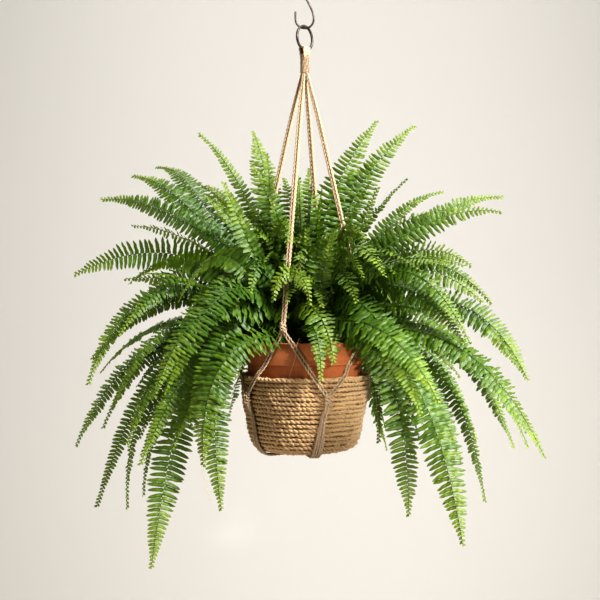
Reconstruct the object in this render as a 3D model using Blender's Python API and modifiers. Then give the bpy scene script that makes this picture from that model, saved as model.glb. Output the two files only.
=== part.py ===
"""A Boston fern in a clay pot, in a coiled jute basket, on a four-strand knotted cord hanger.

The cords fold over an iron ring, and the ring rests in an iron S-hook. The origin is the
top inside of that hook, where it hangs from the ceiling, and +Z is up. The front is -Y.
Lengths below are in millimetres and angles in degrees; MM turns lengths into metres.
"""

import math

import bmesh
import bpy
from mathutils import Matrix, Vector

MM = 0.001
GAP = 0.3  # kept between pieces that touch

# S-hook: two round curls of wire joined by a slanting shank
HOOK_WIRE = 3.2
HOOK_CURL = 16.0  # centre-line radius of a curl
HOOK_SPAN = 116.2  # centre line of the top to centre line of the bottom
HOOK_TIP = 13.0  # straight end past the widest point of a curl
HOOK_TIP_LEAN = 0.5
HOOK_SHANK = (0.42, 14.0)  # sideways slope of the shank, and how stiffly it follows it
CURL_STEPS = 10

# Ring that the cords hang from
RING_WIRE = 4.0
RING_RADIUS = 21.2
RING_TURN = 51.0  # its plane, turned about the vertical from the hook's plane

# Cord: sixteen ends, in four strands of four
CORD = 4.4
STRAND = 2.18 * CORD  # across a bundle of two by two
NECK_RADIUS = 8.5
NECK_TOP = -159.0
NECK_BOTTOM = -195.0
NECK_PINCH = 7.0  # half width of the folded cords where the whipping takes them
NECK_REACH = 6.5  # of a strand where it leaves the whipping
NECK_STRAND = 4.2  # half thickness of a strand there
STRAND_SPREAD = 25.0  # drop over which a strand takes its full thickness
KNOT_RADIUS = 6.8
KNOT_NECK = 5.2  # its radius where the cords enter and leave
UPPER_KNOT = (112.0, -631.0, -649.0)  # reach, top and bottom
LOWER_KNOT = (118.4, -752.0, -770.0)
KNOT_SHOULDER = 5.0  # height of a knot's rounded ends
UPPER_TURN = (-19.0, 71.0, 161.0, 251.0)  # azimuth of each upper knot
LOWER_TURN = (19.0, 108.0, 204.0, 304.0)  # azimuth of each lower knot
LOWER_DRIFT = (-7.0, 4.0, -5.0, 0.0)  # how far each lower strand wanders on its way down
SIDES = ("front", "right", "back", "left")
LEG_SPLIT = 3.4  # how far to each side of a knot its two legs start
LEG_END = 2.9  # half width of a leg where it meets a knot
LEG_LAY = ((109.8, -664.0), (108.0, -676.0), (107.6, -690.0), (107.9, -702.0),
           (111.0, -712.0), (115.2, -720.0), (117.4, -740.0))
CORD_LAY = 0.5  # between the lower strands and the basket that they lie on
FAN_DROP = 17.0  # below a lower knot, its four cords lie side by side
FAN = (1.6, 2.0)  # half width of the four, in cords, there and lower down
BASE_KNOT = (20.0, 9.5)  # radius and height

# Clay pot: (radius, height) down the outside, then up the inside
POT_OUTSIDE = ((103.6, -666.0), (105.0, -667.4), (104.6, -703.4), (103.4, -704.6),
               (101.6, -704.6), (100.2, -726.0), (71.5, -845.6), (69.5, -848.8))
POT_HOLE = 10.0
POT_INSIDE = ((POT_HOLE, -838.8), (61.5, -838.8), (64.5, -836.0), (95.6, -700.0),
              (97.0, -667.4), (98.4, -666.0))

# Basket sleeve round the pot
BASKET_OUTSIDE = ((108.0, -723.3), (110.8, -724.4), (112.4, -727.5), (111.2, -767.0),
                  (106.5, -790.0), (103.0, -809.0), (99.5, -829.0), (94.5, -843.0),
                  (86.5, -852.0), (74.0, -857.3))
BASKET_WALL = 7.5
BASKET_BASE = -857.3
BASKET_FLOOR_RADIUS = 76.0
ROUND = 40  # faces round the pot, the basket and the soil, so that their flats line up

SOIL_TOP = -681.0
CROWN = (38.0, 26.0)  # radius and height of the tuft that every frond grows from
CROWN_RINGS = 6
ERECT_RISE = 62.0  # angle up the tuft's dome where the erect fronds start
ARCHED_RISE = 25.0

# Fronds: azimuth, reach and height of the tip, reach and height halfway along, half width
# of the blade, how far the blade is rolled about its stalk, and how far the last part of
# the stalk flicks outwards. Heights are above the soil.
ERECT = 200.0  # a tip higher than this grows from the middle of the tuft
FRONDS = (
    (-175, 330, -140, 220, 40, 28, 0, 0),
    (-170, 60, 310, 30, 190, 12, 0, 0),
    (-170, 330, 250, 170, 220, 26, 0, 0),
    (-155, 380, -80, 240, 80, 30, -20, 0),
    (-150, 200, 415, 90, 245, 26, 0, 0),
    (-140, 400, -160, 260, 30, 28, 0, 0),
    (-130, 390, 355, 205, 265, 28, -40, 0),
    (-115, 365, 325, 195, 240, 22, 0, 0),
    (-100, 380, 270, 200, 215, 18, 0, 0),
    (-95, 375, -285, 240, -18, 18, 0, 35),
    (-85, 400, 130, 200, 160, 30, -60, 0),
    (-80, 395, -160, 250, 15, 20, 0, 20),
    (-75, 375, -55, 245, 100, 22, 20, -20),
    (-75, 270, -370, 190, -45, 32, -70, 45),
    (-55, 170, -265, 165, -15, 26, -70, 10),
    (-45, 330, -65, 205, 80, 34, -10, 0),
    (-40, 250, -175, 205, 0, 32, -10, 0),
    (10, 150, -45, 120, 45, 16, 0, 0),
    (40, 315, -70, 185, 50, 32, 15, 0),
    (45, 340, -290, 225, 0, 34, 30, 15),
    (50, 220, -265, 175, -20, 28, 60, 15),
    (60, 430, -160, 270, 20, 32, 40, 20),
    (75, 340, 235, 185, 195, 30, 60, 0),
    (75, 315, -255, 225, -25, 20, 0, 25),
    (80, 325, 80, 180, 150, 18, 30, 0),
    (82, 385, -50, 245, 85, 28, 60, 0),
    (100, 370, 275, 200, 215, 20, 30, 0),
    (105, 265, 285, 145, 215, 16, 0, 0),
    (115, 150, -175, 130, 10, 14, 80, 15),
    (120, 240, 415, 100, 260, 24, 35, 0),
    (130, 390, 40, 220, 130, 28, 10, 0),
    (130, 180, 425, 60, 245, 28, 0, 0),
    (140, 340, -240, 230, -10, 28, 10, 10),
    (155, 380, -90, 240, 70, 30, 20, 0),
    (180, 360, 60, 200, 150, 28, 0, 0),
)
BLADE_SHARE = 0.6  # the leaflets fill about this much of a frond's width
BLADE_SHAPE = ((0.0, 0.0), (0.14, 0.0), (0.26, 0.6), (0.38, 0.95), (0.5, 1.0), (0.62, 1.0),
               (0.74, 0.88), (0.86, 0.6), (0.95, 0.28), (1.0, 0.0))
STALK = 1.4  # half thickness of a frond's stalk
STALK_FOOT = 0.4  # half thickness where it leaves the tuft


def material(name, colour, roughness, metallic=0.0):
    """A Principled material."""
    made = bpy.data.materials.new(name)
    made.use_nodes = True
    shader = made.node_tree.nodes["Principled BSDF"]
    shader.inputs["Base Color"].default_value = (*colour, 1.0)
    shader.inputs["Roughness"].default_value = roughness
    shader.inputs["Metallic"].default_value = metallic
    return made


def finished(obj, collection, name, look):
    """Names the object, gives it its material, and files it in the collection."""
    obj.name = name
    obj.data.name = name
    obj.data.materials.clear()
    obj.data.materials.append(look)
    for other in list(obj.users_collection):
        other.objects.unlink(obj)
    collection.objects.link(obj)
    return obj


def around(azimuth, reach, height):
    """The point at this reach from the axis; azimuth 0 is the front, 90 the right."""
    angle = math.radians(azimuth)
    return Vector((reach * math.sin(angle), -reach * math.cos(angle), height)) * MM


def cross_section(centre, along, side, half_width, half_thickness):
    """The matrix that lays a unit disc at centre, square to along, its X towards side."""
    along = along.normalized()
    across = (side - along * side.dot(along)).normalized()
    upward = along.cross(across)
    turn = Matrix((across, upward, along)).transposed().to_4x4()
    scale = Matrix.Diagonal((half_width * MM, half_thickness * MM, 1.0, 1.0))
    return Matrix.Translation(centre) @ turn @ scale


def swept(sections, corners):
    """A closed bar: a disc with this many corners, extruded from section to section."""
    shape = bmesh.new()
    bmesh.ops.create_circle(shape, cap_ends=True, radius=1.0, segments=corners)
    shape.transform(sections[0])
    face = shape.faces[:][0]
    for before, after in zip(sections, sections[1:]):
        made = bmesh.ops.extrude_face_region(shape, geom=[face])["geom"]
        if before is not sections[0]:
            bmesh.ops.delete(shape, geom=[face], context="FACES_ONLY")
        face = next(item for item in made if isinstance(item, bmesh.types.BMFace))
        step = after @ before.inverted()
        bmesh.ops.transform(shape, matrix=step, verts=face.verts[:])
    bmesh.ops.recalc_face_normals(shape, faces=shape.faces[:])
    mesh = bpy.data.meshes.new("swept")
    shape.to_mesh(mesh)
    shape.free()
    mesh.shade_smooth()
    mesh.set_sharp_from_angle(angle=math.radians(50))
    return bpy.data.objects.new("swept", mesh)


def directions(points):
    """The direction of travel at each point of a route."""
    ahead = [b - a for a, b in zip(points, points[1:])]
    inner = [(a.normalized() + b.normalized()) for a, b in zip(ahead, ahead[1:])]
    return [ahead[0], *inner, ahead[-1]]


def turned(outline, steps):
    """A closed outline of (radius, height) spun about the vertical axis."""
    shape = bmesh.new()
    corners = [shape.verts.new((radius * MM, 0.0, height * MM)) for radius, height in outline]
    for first, second in zip(corners, corners[1:] + corners[:1]):
        shape.edges.new((first, second))
    mesh = bpy.data.meshes.new("turned")
    shape.to_mesh(mesh)
    shape.free()
    obj = bpy.data.objects.new("turned", mesh)
    screw = obj.modifiers.new("Turn", "SCREW")
    screw.steps = screw.render_steps = steps
    screw.use_merge_vertices = True
    screw.merge_threshold = 0.00001
    screw.use_smooth_shade = True
    return obj


def wire(points, thickness):
    """A round wire along the points."""
    curve = bpy.data.curves.new("wire", "CURVE")
    curve.dimensions = "3D"
    curve.bevel_depth = thickness / 2 * MM
    curve.bevel_resolution = 2
    curve.use_fill_caps = True
    spline = curve.splines.new("POLY")
    spline.points.add(len(points) - 1)
    for place, point in zip(spline.points, points):
        place.co = (*point, 1.0)
    return bpy.data.objects.new("wire", curve)


def hook_route():
    """Centre line of the S-hook, from the lower tip to the upper one."""
    top = HOOK_WIRE / 2
    middle = Vector((0.0, top - HOOK_SPAN / 2))
    curl = Vector((0.0, top - HOOK_SPAN + HOOK_CURL))
    lower = [curl + Vector((-HOOK_CURL - HOOK_TIP_LEAN, HOOK_TIP))]
    for step in range(CURL_STEPS + 1):
        angle = math.pi * (1 + step / CURL_STEPS)
        lower.append(curl + HOOK_CURL * Vector((math.cos(angle), math.sin(angle))))
    slope, stiffness = HOOK_SHANK
    start = lower[-1]
    leave = start + Vector((0.0, HOOK_CURL))
    arrive = middle + stiffness * Vector((slope, -1.0))
    for t in (0.25, 0.5, 0.75):
        lower.append(
            start * (1 - t) ** 3
            + leave * 3 * t * (1 - t) ** 2
            + arrive * 3 * t**2 * (1 - t)
            + middle * t**3
        )
    upper = [2 * middle - point for point in reversed(lower)]
    return [Vector((x, 0.0, z)) * MM for x, z in lower + [middle] + upper]


def add_hook_and_ring(collection):
    iron = material("dark iron", (0.035, 0.032, 0.03), 0.45, 0.9)
    finished(wire(hook_route(), HOOK_WIRE), collection, "s_hook", iron)

    hook_bottom = HOOK_WIRE / 2 - HOOK_SPAN
    ring_top = hook_bottom + HOOK_WIRE / 2 + RING_WIRE / 2 + GAP
    bpy.ops.mesh.primitive_torus_add(
        major_radius=RING_RADIUS * MM,
        minor_radius=RING_WIRE / 2 * MM,
        major_segments=28,
        minor_segments=8,
        location=(0.0, 0.0, (ring_top - RING_RADIUS) * MM),
        rotation=(math.radians(90), 0.0, math.radians(RING_TURN)),
    )
    ring = bpy.context.object
    ring.data.shade_smooth()
    finished(ring, collection, "hanger_ring", iron)
    return ring_top - 2 * RING_RADIUS


def add_neck(collection, ring_bottom, jute):
    """The cords folded over the ring's lowest stretch, and the whipping that binds them."""
    turn = math.radians(RING_TURN)
    along_ring = Vector((math.cos(turn), math.sin(turn), 0.0))
    through_ring = Vector((-math.sin(turn), math.cos(turn), 0.0))
    half_width = 2.1 * CORD  # four cords side by side
    ring_rise = RING_RADIUS - math.sqrt(RING_RADIUS**2 - half_width**2)
    clear = RING_WIRE / 2 + GAP + CORD / 2
    crest = ring_bottom + ring_rise + clear
    shoulder = ring_bottom + GAP
    start = NECK_TOP + GAP
    steps = 6
    route = [(clear, start, NECK_PINCH)]
    for step in range(steps + 1):
        angle = math.pi * step / steps
        rise = (crest - shoulder) * math.sin(angle)
        route.append((clear * math.cos(angle), shoulder + rise, half_width))
    route.append((-clear, start, NECK_PINCH))
    points = [through_ring * out * MM + Vector((0, 0, z * MM)) for out, z, _ in route]
    down = Vector((0.0, 0.0, -1.0))
    ways = [-down, *directions(points)[1:-1], down]
    sections = [
        cross_section(point, way, along_ring, width, CORD / 2)
        for point, way, (_, _, width) in zip(points, ways, route)
    ]
    finished(swept(sections, 8), collection, "neck_loops", jute)

    rounding = 1.0
    outline = (
        (0.0, NECK_TOP),
        (NECK_RADIUS - rounding, NECK_TOP),
        (NECK_RADIUS, NECK_TOP - rounding),
        (NECK_RADIUS, NECK_BOTTOM + rounding),
        (NECK_RADIUS - rounding, NECK_BOTTOM),
        (0.0, NECK_BOTTOM),
    )
    finished(turned(outline, 16), collection, "neck_wrap", jute)


def add_hanger_strands(collection, jute):
    """Four bundles of four cords, each from the neck to its own knot above the rim."""
    knot_reach, knot_top, knot_bottom = UPPER_KNOT
    top = NECK_BOTTOM - GAP
    slope = (knot_reach - NECK_REACH) / (top - (knot_top + knot_bottom) / 2)
    stations = (
        (top, NECK_STRAND),
        (top - STRAND_SPREAD, STRAND / 2),
        (knot_top + KNOT_SHOULDER, STRAND / 2),
        (knot_top, KNOT_NECK),
        (knot_top - KNOT_SHOULDER, KNOT_RADIUS),
        (knot_bottom + KNOT_SHOULDER, KNOT_RADIUS),
        (knot_bottom, KNOT_NECK),
    )
    down = Vector((0.0, 0.0, -1.0))
    for side, azimuth in zip(SIDES, UPPER_TURN):
        points = [around(azimuth, NECK_REACH + slope * (top - z), z) for z, _ in stations]
        ways = [down, *directions(points)[1:-2], down, down]
        facing = around(azimuth + 90, 1.0, 0.0)
        sections = [
            cross_section(point, way, facing, radius, radius)
            for point, way, (_, radius) in zip(points, ways, stations)
        ]
        finished(swept(sections, 8), collection, f"hanger_strand_{side}", jute)


def add_net_legs(collection, jute):
    """Eight pairs of cords that part at the upper knots and meet at the lower ones."""
    top = UPPER_KNOT[2] - GAP
    bottom = LOWER_KNOT[1] + GAP
    route = ((UPPER_KNOT[0], top), *LEG_LAY, (LOWER_KNOT[0], bottom))
    leave = math.degrees(LEG_SPLIT / UPPER_KNOT[0])
    arrive = math.degrees(LEG_SPLIT / LOWER_KNOT[0])
    down = Vector((0.0, 0.0, -1.0))
    for index, side in enumerate(SIDES):
        meets = ((index, 1), ((index - 1) % 4, -1))
        for other, sign in meets:
            begin = UPPER_TURN[index]
            end = LOWER_TURN[other]
            end += 360 * round((begin - end) / 360)
            begin += sign * leave
            end -= sign * arrive
            points = []
            for reach, z in route:
                share = (top - z) / (top - bottom)
                points.append(around(begin + (end - begin) * share, reach, z))
            ways = [down, *directions(points)[1:-1], down]
            widths = [LEG_END, *[CORD] * len(LEG_LAY), LEG_END]
            sections = []
            for point, way, width in zip(points, ways, widths):
                outward = Vector((point.x, point.y, 0.0))
                sections.append(cross_section(point, way, way.cross(outward), width, CORD / 2))
            name = f"net_leg_{side}_{'right' if sign > 0 else 'left'}"
            finished(swept(sections, 6), collection, name, jute)


def laid_on(outline, clearance):
    """The outline moved outwards by the clearance, corner by corner."""
    points = [Vector(point) for point in outline]
    moved = []
    for point, way in zip(points, directions(points)):
        outward = Vector((-way[1], way[0])).normalized()
        moved.append(point + outward * clearance)
    return moved


def add_basket_strands(collection, jute):
    """Four strands that lie down the basket's side and under it to the base knot."""
    reach, top, bottom = LOWER_KNOT
    flat = CORD / 2
    laid = laid_on(BASKET_OUTSIDE, CORD_LAY + flat)
    down_side = [point for point in laid if point.y < bottom - FAN_DROP]
    under = Vector((BASE_KNOT[0] + GAP, BASKET_BASE - CORD_LAY - flat))
    for side, azimuth, drift in zip(SIDES, LOWER_TURN, LOWER_DRIFT):
        stations = [
            (reach, top, KNOT_NECK, KNOT_NECK),
            (reach, top - KNOT_SHOULDER, KNOT_RADIUS, KNOT_RADIUS),
            (reach, bottom + KNOT_SHOULDER, KNOT_RADIUS, KNOT_RADIUS),
            (reach - 1.0, bottom - 1.0, STRAND / 2, STRAND / 2 - 0.4),
            (reach - 4.6, bottom - FAN_DROP / 2, 1.45 * CORD, 0.72 * CORD),
        ]
        for index, point in enumerate(down_side):
            spread = min(1.0, 2 * index / len(down_side))
            width = CORD * (FAN[0] + (FAN[1] - FAN[0]) * spread)
            stations.append((point.x, point.y, width, flat))
        stations.append((under.x, under.y, FAN[0] * CORD, flat))
        points = []
        for station_reach, z, _, _ in stations:
            share = min(1.0, (top - z) / (top - BASKET_BASE))
            points.append(around(azimuth + drift * share, station_reach, z))
        ways = directions(points)
        ways[:3] = [Vector((0.0, 0.0, -1.0))] * 3
        facing = around(azimuth + 90, 1.0, 0.0)
        sections = [
            cross_section(point, way, facing, width, thick)
            for point, way, (_, _, width, thick) in zip(points, ways, stations)
        ]
        finished(swept(sections, 8), collection, f"basket_strand_{side}", jute)

    radius, height = BASE_KNOT
    high = BASKET_BASE - GAP
    rounding = 3.0
    outline = (
        (0.0, high),
        (radius - rounding, high),
        (radius, high - rounding),
        (radius, high - height + rounding),
        (radius - rounding, high - height),
        (0.0, high - height),
    )
    finished(turned(outline, 16), collection, "base_knot", jute)


def add_pot_and_basket(collection, jute):
    clay = material("terracotta", (0.46, 0.13, 0.045), 0.8)
    sleeve = material("coiled jute", (0.4, 0.25, 0.12), 0.9)
    peat = material("potting soil", (0.035, 0.02, 0.012), 0.95)
    pot_base = POT_OUTSIDE[-1][1]
    outline = (*POT_OUTSIDE, (POT_HOLE, pot_base), *POT_INSIDE)
    finished(turned(outline, ROUND), collection, "terracotta_pot", clay)

    floor = pot_base - GAP
    walls = [point for point in laid_on(BASKET_OUTSIDE[2:], -BASKET_WALL) if point.y > floor]
    walls = [(point.x, point.y) for point in walls[:-1]]
    outline = (
        *BASKET_OUTSIDE,
        (0.0, BASKET_BASE),
        (0.0, floor),
        (BASKET_FLOOR_RADIUS, floor),
        *reversed(walls),
    )
    finished(turned(outline, ROUND), collection, "jute_basket", sleeve)

    _, floor_corner, wall_foot, wall_top = POT_INSIDE[:4]
    lowest = floor_corner[1] + GAP
    outline = (
        (0.0, SOIL_TOP),
        (wall_top[0] - GAP, SOIL_TOP),
        (wall_top[0] - GAP, wall_top[1]),
        (wall_foot[0] - GAP, wall_foot[1]),
        (floor_corner[0] - GAP, lowest),
        (0.0, lowest),
    )
    finished(turned(outline, ROUND), collection, "potting_soil", peat)


def crown_outline(angle):
    """Point and outward direction on the tuft's dome, in a vertical plane."""
    radius, height = CROWN
    point = Vector((radius * math.cos(angle), height * math.sin(angle)))
    outward = Vector((math.cos(angle) / radius, math.sin(angle) / height)).normalized()
    return point, outward


def frond_bases():
    """For each frond, the azimuth and the angle up the dome where its stalk starts.

    Stalks are spread evenly round the tuft, erect ones near its top, in azimuth order.
    """
    bases = {}
    for erect in (False, True):
        ranks = [i for i, row in enumerate(FRONDS) if (row[2] > ERECT) == erect]
        for place, index in enumerate(ranks):
            azimuth = -180.0 + 360.0 * (place + 0.5) / len(ranks)
            bases[index] = (azimuth, math.radians(ERECT_RISE if erect else ARCHED_RISE))
    return bases


def frond_point(row, base, t):
    """A frond's centre line: an arch in reach and height that swings to its azimuth."""
    azimuth, tip_reach, tip_height, mid_reach, mid_height = row[:5]
    flick = row[7]
    base_azimuth, dome_angle = base
    start, outward = crown_outline(dome_angle)
    start = start + outward * GAP
    tip = Vector((tip_reach - flick, tip_height))
    bend = 2 * Vector((mid_reach, mid_height)) - (start + tip) / 2
    reach, height = start * (1 - t) ** 2 + bend * 2 * t * (1 - t) + tip * t**2
    reach += flick * t**4
    swing = (base_azimuth - azimuth) * (1 - t) ** 2
    return around(azimuth + swing, reach, SOIL_TOP + GAP + height)


def add_fern(collection):
    leaf = material("frond", (0.09, 0.24, 0.04), 0.5)
    tuft = material("crown", (0.12, 0.1, 0.04), 0.9)
    outline = [(0.0, SOIL_TOP + GAP + CROWN[1])]
    for step in range(1, CROWN_RINGS + 1):
        point, _ = crown_outline(math.pi / 2 * (1 - step / CROWN_RINGS))
        outline.append((point.x, SOIL_TOP + GAP + point.y))
    outline.append((0.0, SOIL_TOP + GAP))
    finished(turned(outline, 32), collection, "fern_crown", tuft)

    bases = frond_bases()
    for index, row in enumerate(FRONDS):
        half_width, roll = row[5] * BLADE_SHARE, math.radians(row[6])
        level = around(row[0] - 90, 1.0, 0.0)
        sections = []
        for t, share in BLADE_SHAPE:
            point = frond_point(row, bases[index], t)
            before = frond_point(row, bases[index], t - 0.01)
            after = frond_point(row, bases[index], t + 0.01)
            way = (after - before).normalized()
            side = Matrix.Rotation(-roll * min(1.0, 2 * t), 3, way) @ level
            width = max(STALK, half_width * share)
            thick = STALK * (1.0 - 0.5 * t)
            if t == 0.0:
                width = thick = STALK_FOOT
            sections.append(cross_section(point, way, side, width, thick))
        finished(swept(sections, 4), collection, f"fern_frond_{index + 1:02d}", leaf)


def main():
    for obj in list(bpy.data.objects):
        bpy.data.objects.remove(obj, do_unlink=True)
    collection = bpy.data.collections.new("hanging boston fern")
    bpy.context.scene.collection.children.link(collection)
    jute = material("jute cord", (0.52, 0.38, 0.22), 0.85)
    ring_bottom = add_hook_and_ring(collection)
    add_neck(collection, ring_bottom, jute)
    add_hanger_strands(collection, jute)
    add_net_legs(collection, jute)
    add_basket_strands(collection, jute)
    add_pot_and_basket(collection, jute)
    add_fern(collection)


main()
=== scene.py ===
"""A Boston fern in a clay pot, in a coiled jute basket, on a knotted jute hanger."""

import math
import random
from collections import namedtuple

import bmesh
import bpy
from mathutils import Matrix, Vector, kdtree, noise
from mathutils.geometry import interpolate_bezier


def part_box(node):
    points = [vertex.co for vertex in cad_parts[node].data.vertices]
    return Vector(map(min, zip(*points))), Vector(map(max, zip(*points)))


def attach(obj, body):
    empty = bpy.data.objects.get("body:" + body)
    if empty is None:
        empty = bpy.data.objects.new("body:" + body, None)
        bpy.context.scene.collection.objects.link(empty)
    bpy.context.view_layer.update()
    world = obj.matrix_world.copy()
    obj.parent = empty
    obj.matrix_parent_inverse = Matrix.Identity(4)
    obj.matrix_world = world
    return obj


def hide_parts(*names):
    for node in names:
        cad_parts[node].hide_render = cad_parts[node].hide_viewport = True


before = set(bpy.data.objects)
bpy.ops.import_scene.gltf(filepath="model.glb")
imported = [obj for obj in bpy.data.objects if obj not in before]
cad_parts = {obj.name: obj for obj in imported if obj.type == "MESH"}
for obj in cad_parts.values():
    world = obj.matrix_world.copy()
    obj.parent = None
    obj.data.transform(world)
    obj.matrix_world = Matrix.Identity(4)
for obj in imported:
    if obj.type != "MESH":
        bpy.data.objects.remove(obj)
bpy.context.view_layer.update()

# --- S-hook -----------------------------------------------------------------------------
# The S-hook is one length of iron wire bent into two round curls, one to hang by and one
# for the hanger's ring. It is blackened, and its cut ends are rounded off.

MM = 0.001
ROUND_BAR, ROUND_YARN = 4, 1  # how finely a tube is rounded
scene = bpy.context.scene


def tube(routes, thickness, resolution, closed=False):
    """Round bars along routes of (point, share of the thickness), as one mesh.

    The UV map runs once round a bar, and along it in centimetres.
    """
    curve = bpy.data.curves.new("tube", "CURVE")
    curve.dimensions = "3D"
    curve.bevel_depth = thickness / 2
    curve.bevel_resolution = resolution
    curve.use_fill_caps = not closed
    for route in routes:
        spline = curve.splines.new("POLY")
        spline.points.add(len(route) - 1)
        spline.use_cyclic_u = closed
        for place, (point, share) in zip(spline.points, route):
            place.co = (*point, 1.0)
            place.radius = share
    drawn = bpy.data.objects.new("tube", curve)
    scene.collection.objects.link(drawn)
    graph = bpy.context.evaluated_depsgraph_get()
    mesh = bpy.data.meshes.new_from_object(drawn.evaluated_get(graph))
    bpy.data.objects.remove(drawn)
    bpy.data.curves.remove(curve)
    shape = bmesh.new()
    shape.from_mesh(mesh)
    bmesh.ops.remove_doubles(shape, verts=shape.verts[:], dist=0.001 * MM)
    bmesh.ops.recalc_face_normals(shape, faces=shape.faces[:])
    first = [point for point, _ in routes[0]]
    length = sum((b - a).length for a, b in zip(first, first[1:]))
    layer = shape.loops.layers.uv.verify()
    for face in shape.faces:
        for loop in face.loops:
            loop[layer].uv.y *= length * 100
    shape.to_mesh(mesh)
    shape.free()
    mesh.shade_smooth()
    return mesh


def piece(name, mesh, look, slot, *nodes):
    """A finished piece of the object, standing for its CAD nodes."""
    made = bpy.data.objects.new(name, mesh)
    mesh.name = name
    mesh.materials.append(look)
    scene.collection.objects.link(made)
    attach(made, "root")
    if nodes:
        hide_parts(*nodes)


class Shade:
    """One output of a node. Arithmetic on it adds Math nodes to its material."""

    def __init__(self, tree, socket):
        self.tree = tree
        self.socket = socket

    def add(self, kind, settings, sockets, output=0):
        """Adds a node: its settings first, then the values or links of its sockets."""
        made = self.tree.nodes.new("ShaderNode" + kind)
        for name, value in settings.items():
            setattr(made, name, value)
        self.feed(made, sockets)
        return Shade(self.tree, made.outputs[output])

    def feed(self, node, sockets):
        """Sets or links the sockets of a node."""
        for name, value in sockets.items():
            socket = node.inputs[name]
            if isinstance(value, Shade):
                self.tree.links.new(value.socket, socket)
            elif socket.type == "RGBA":
                socket.default_value = (*value, 1.0)
            else:
                socket.default_value = value

    def math(self, operation, first, second=0.0):
        return self.add("Math", {"operation": operation}, {0: first, 1: second})

    def __add__(self, other):
        return self.math("ADD", self, other)

    def __sub__(self, other):
        return self.math("SUBTRACT", self, other)

    def __rsub__(self, other):
        return self.math("SUBTRACT", other, self)

    def __mul__(self, other):
        return self.math("MULTIPLY", self, other)

    def __abs__(self):
        return self.math("ABSOLUTE", self)

    __radd__ = __add__
    __rmul__ = __mul__

    def mix(self, low, high):
        """Colours mixed by this mask: low where it is 0, high where it is 1."""
        settings = {"data_type": "RGBA"}
        return self.add("Mix", settings, {0: self, 6: low, 7: high}, output=2)

    def clipped(self, low, high):
        """0 at low, 1 at high, and held at those beyond them."""
        return self.add("MapRange", {"clamp": True}, {"Value": self, 1: low, 2: high})

    def cloud(self, scale, detail=3.0, roughness=0.6):
        """Noise over these coordinates, about 0 to 1."""
        sockets = {"Vector": self, "Scale": scale, "Detail": detail, "Roughness": roughness}
        return self.add("TexNoise", {}, sockets)

    def bump(self, distance, strength=1.0):
        sockets = {"Height": self, "Distance": distance, "Strength": strength}
        return self.add("Bump", {}, sockets)

    def attribute(self, name):
        """A number that the mesh keeps for each of its points."""
        return self.add("Attribute", {"attribute_name": name}, {}, output=2)

    def on_object(self):
        """Object coordinates, in a material that otherwise follows its UV map."""
        return self.add("TexCoord", {}, {}, output=3)


def new_material(name, coordinates="Object"):
    """A material, its shader, and the coordinates that its pattern reads."""
    made = bpy.data.materials.new(name)
    made.use_nodes = True
    tree = made.node_tree
    where = tree.nodes.new("ShaderNodeTexCoord").outputs[coordinates]
    return made, tree.nodes["Principled BSDF"], Shade(tree, where)


iron, shader, where = new_material("blackened iron")
mottle = where.cloud(260.0)
where.feed(shader, {
    "Base Color": mottle.clipped(0.3, 0.7).mix((0.03, 0.024, 0.02), (0.17, 0.145, 0.12)),
    "Metallic": 0.8,
    "Roughness": 0.34 + 0.3 * mottle,
    "Normal": where.cloud(1400.0).bump(0.0002, 0.5),
})

low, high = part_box("s_hook")
UP = Vector((0.0, 0.0, 1.0))
WIRE = high.y - low.y
BLACKED_WIRE = WIRE * 1.12  # with its blacking
TIP, TIP_LEAN = 13 * MM, 0.5 * MM  # a curl's straight end, and how far it leans out
TIP_ROUNDING = (0.25, 0.7, 0.95)  # shares of the thickness, from the very end on
SHANK_SLOPE, SHANK_STIFFNESS = 0.42, 14 * MM
CURL_STEPS = 28
curl = high.x - WIRE / 2 - TIP_LEAN
middle = UP * (low.z + high.z) / 2
centre = UP * (low.z + WIRE / 2 + curl)
lower = [centre + Vector((-curl - TIP_LEAN * share, 0.0, TIP * share)) for share in (1, 0.5)]
for step in range(CURL_STEPS + 1):
    angle = math.pi * (1 + step / CURL_STEPS)
    lower.append(centre + curl * Vector((math.cos(angle), 0.0, math.sin(angle))))
shank = interpolate_bezier(lower[-1], lower[-1] + UP * curl,
                           middle + SHANK_STIFFNESS * Vector((SHANK_SLOPE, 0.0, -1.0)),
                           middle, CURL_STEPS // 2 + 1)
half = [(lower[0] + UP * WIRE * 0.3 * (1 - share), share) for share in TIP_ROUNDING]
half += [(point, 1.0) for point in lower + shank[1:]]
other_half = [(2 * middle - point, share) for point, share in reversed(half[:-1])]
mesh = tube([half + other_half], BLACKED_WIRE, ROUND_BAR)
piece("s_hook_wire", mesh, iron, "dark_iron", "s_hook")

# --- Ring -------------------------------------------------------------------------------
# The ring is iron rod bent round and welded shut. It hangs in the S-hook's lower curl, and
# the hanger's cords are folded over its lowest part.

ROD = 4 * MM
BLACKED_ROD = ROD * 1.15
RING_TURN = math.radians(51)  # which way the ring faces
RING_STEPS = 64
low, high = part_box("hanger_ring")
ring_radius = (high.z - low.z - ROD) / 2
ring_centre = (low + high) / 2
along_ring = Vector((math.cos(RING_TURN), math.sin(RING_TURN), 0.0))
through_ring = Vector((-math.sin(RING_TURN), math.cos(RING_TURN), 0.0))
round_ring = []
for step in range(RING_STEPS):
    angle = math.tau * step / RING_STEPS
    out = along_ring * math.cos(angle) + UP * math.sin(angle)
    round_ring.append((ring_centre + ring_radius * out, 1.0))
mesh = tube([round_ring], BLACKED_ROD, ROUND_BAR, closed=True)
piece("ring_rod", mesh, iron, "dark_iron", "hanger_ring")

# --- Folded cords -----------------------------------------------------------------------
# Eight two-ply jute cords are folded over the ring, side by side, which makes sixteen
# ends. Each cord is twisted yarn, and it keeps its twist where it bends.

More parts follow.
